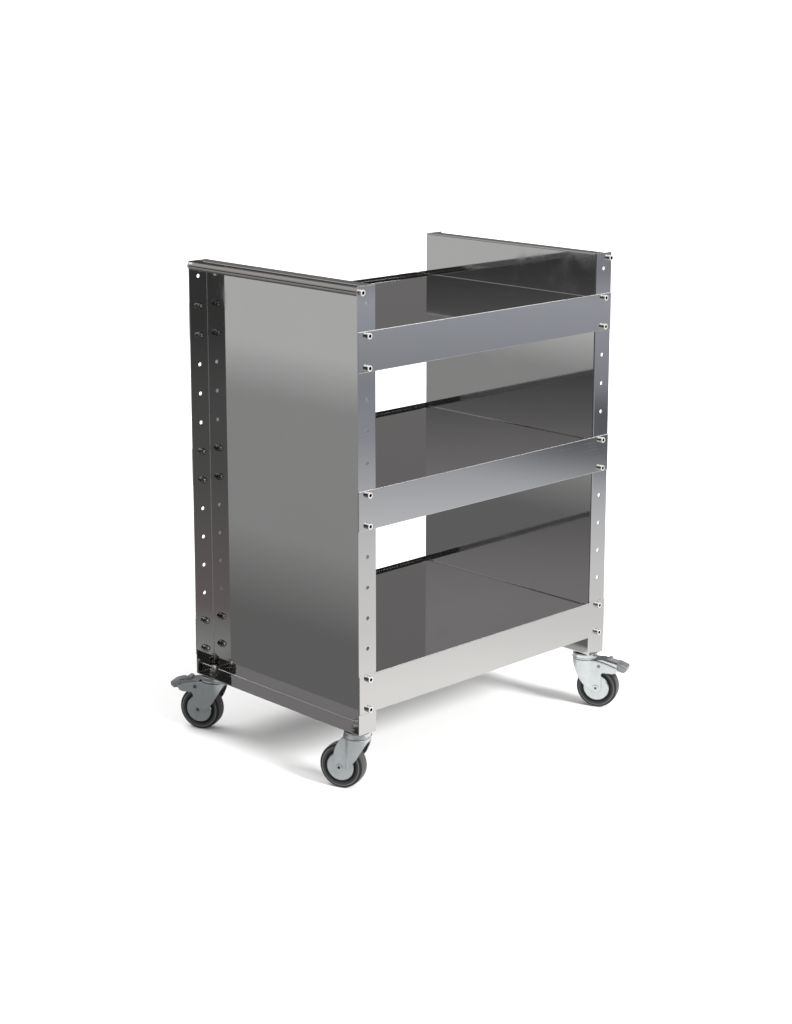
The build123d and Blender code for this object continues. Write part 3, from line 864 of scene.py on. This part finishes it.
domeTones = {
    "leftRear": colour(0.36, 0.35, 0.355),
    "line": colour(0.05, 0.05, 0.05),
    "rightFront": colour(0.30, 0.30, 0.31),
    "camera": colour(0.045, 0.045, 0.045),
    "rear": colour(0.17, 0.165, 0.165),
    # painted light: the soft box glow on the dome, brighter than white, is no lamp
    "boxLeft": colour(0.51, 0.50, 0.49),
    "boxRight": colour(2.4, 2.4, 2.42),
}
# sun lamps: the direction they come from, and their spread in degrees
lamps = {
    "frontLight": {"from": (0.12, -0.94, 0.57), "spread": 16.0, "strength": 6.5},
    "backLight": {"from": (-0.10, 0.45, 0.90), "spread": 30.0, "strength": 1.9},
}


def hideFrom(obj, *rays):
    for ray in rays:
        setattr(obj, f"visible_{ray}", False)


def stageMesh(name, points, faces, material):
    mesh = bpy.data.meshes.new(name)
    mesh.from_pydata(points, [], faces)
    mesh.materials.append(material)
    obj = bpy.data.objects.new(name, mesh)
    bpy.context.scene.collection.objects.link(obj)
    return obj


def square(half, height):
    return [(-half, -half, height), (half, -half, height), (half, half, height), (-half, half, height)]


def domePoints(radius, dip, grid):
    # radius times the cosine of the latitude across and times its sine up, from just under the floor
    latitude = np.linspace(-dip, math.pi / 2 - dip, grid[0])[:, None]
    return roundRings(radius * np.cos(latitude), roundAngles(grid[1]), radius * np.sin(latitude))


def floorPaint():
    recipe = Recipe("studioFloor")
    tone = recipe.mixColour(recipe.noise(2.0), studio["floorTint"], studio["floorCloud"])
    return recipe.finish({"Base Color": tone, "Roughness": 0.9})


def glowing(recipe, tone):
    # a surface that shines in its tone, and isn't used as a lamp
    glow = recipe.node("ShaderNodeEmission", None, {"Color": tone, "Strength": 1.0})
    recipe.node("ShaderNodeOutputMaterial", None, {0: glow})
    recipe.material.cycles.emission_sampling = "NONE"
    return recipe.material


def floorGlow(tones):
    # painted reflection that the sheets mirror low down: greys by direction and distance that stand in for
    # the lit floor and its shade
    recipe = Recipe("mirroredFloor")
    x, y, _ = recipe.axes(recipe.place())
    distance = (x * x + y * y) ** 0.5
    reach = distance / tones["reach"]
    level = distance.larger(studio["nearNothing"])
    away = (y - x) * diagonal / level
    near = (x * tones["cameraWay"][0] + y * tones["cameraWay"][1]) / level
    far = (x + y) * diagonal / level
    leftRear = recipe.ramp(x / -tones["reach"], tones["leftRear"])
    # painted shade: the card is painted darker round a spot at the right front
    spotX, spotY = tones["flag"]
    aside = ((x - spotX) * (x - spotX) + (y - spotY) * (y - spotY)) ** 0.5
    shading = {0: recipe.ramp(reach, tones["front"]), "Scale": recipe.step(aside, 0.2, 0.8, 0.52, 1.25)}
    front = recipe.node("ShaderNodeVectorMath", {"operation": "SCALE"}, shading)
    cool = recipe.mixColour(recipe.step(distance, 0.6, 3.0), tones["frontNear"], tones["frontFar"])
    front = recipe.times(front, cool)
    warmth = recipe.step(distance, 0.62, 0.80) * recipe.step(distance, 0.8, 2.0, 1.0, 0.0)
    warm = recipe.mixColour(warmth, tones["plain"], tones["cameraWarm"])
    cameraSide = recipe.times(recipe.ramp(reach, tones["camera"]), warm)
    base = recipe.mixColour(recipe.step(away, -0.35, 0.25), front, leftRear)
    base = recipe.mixColour(recipe.step(near, 0.78, 0.93), base, cameraSide)
    base = recipe.mixColour(recipe.step(far, 0.55, 0.95), base, recipe.ramp(reach, tones["rear"]))
    return glowing(recipe, base)


def domeGlow(tones):
    # painted reflection that they mirror higher up: dark near the camera, greys at the horizon, and a wide
    # painted soft box glow above
    recipe = Recipe("mirroredDome")
    x, y, z = recipe.axes(recipe.place())
    height = z / studio["domeRadius"]
    level = ((x * x + y * y) ** 0.5).larger(studio["nearNothing"])
    away = (y - x) * diagonal / level
    near = (x + y) * -diagonal / level
    line = recipe.step(height, 0.02, 0.08) * recipe.step(height, 0.20, 0.34, 1.0, 0.0)
    leftRear = recipe.mixColour(line, tones["leftRear"], tones["line"])
    low = recipe.mixColour(recipe.step(away, -0.6, 0.8), tones["rightFront"], leftRear)
    low = recipe.mixColour(recipe.step(near, 0.4, 0.9), low, tones["camera"])
    low = recipe.mixColour(recipe.step(near, -0.6, -0.92), low, tones["rear"])
    side = recipe.step((x - y) * diagonal / level, -0.2, 0.7)
    box = recipe.mixColour(side, tones["boxLeft"], tones["boxRight"])
    return glowing(recipe, recipe.mixColour(recipe.step(height, 0.40, 0.62), low, box))


def makeStudio(setup):
    oneFace = [(0, 1, 2, 3)]
    radius = setup["domeRadius"]
    floor = stageMesh("floor", square(setup["floorSize"] / 2, 0.0), oneFace, floorPaint())
    hideFrom(floor, "glossy")
    card = stageMesh("floorCard", square(radius, setup["cardHeight"]), oneFace, floorGlow(floorTones))
    points, groups = cappedForm(domePoints(radius, setup["domeDip"], setup["domeGrid"]))
    faces = [face for group in groups for face in group.tolist()]
    dome = stageMesh("domeCard", points.tolist(), faces, domeGlow(domeTones))
    for unseen in (card, dome):
        hideFrom(unseen, "camera", "diffuse", "transmission", "shadow", "volume_scatter")
    world = bpy.data.worlds.new("studioWorld")
    world.use_nodes = True
    background = world.node_tree.nodes["Background"]
    background.inputs[0].default_value = colour(1.0, 1.0, 1.0)
    background.inputs[1].default_value = setup["worldStrength"]
    bpy.context.scene.world = world
    bpy.context.scene.view_settings.view_transform = "Standard"


def makeLamp(name, setup):
    # a broad, even light, left out of the mirrors
    data = bpy.data.lights.new(name, "SUN")
    data.angle = math.radians(setup["spread"])
    data.energy = setup["strength"]
    lamp = bpy.data.objects.new(name, data)
    lamp.location = setup["from"]
    lamp.rotation_euler = (-lamp.location).to_track_quat("-Z", "Y").to_euler()
    lamp.visible_glossy = False
    bpy.context.scene.collection.objects.link(lamp)


makeStudio(studio)
for lampName, lampSetup in lamps.items():
    makeLamp(lampName, lampSetup)
print("studio lit")
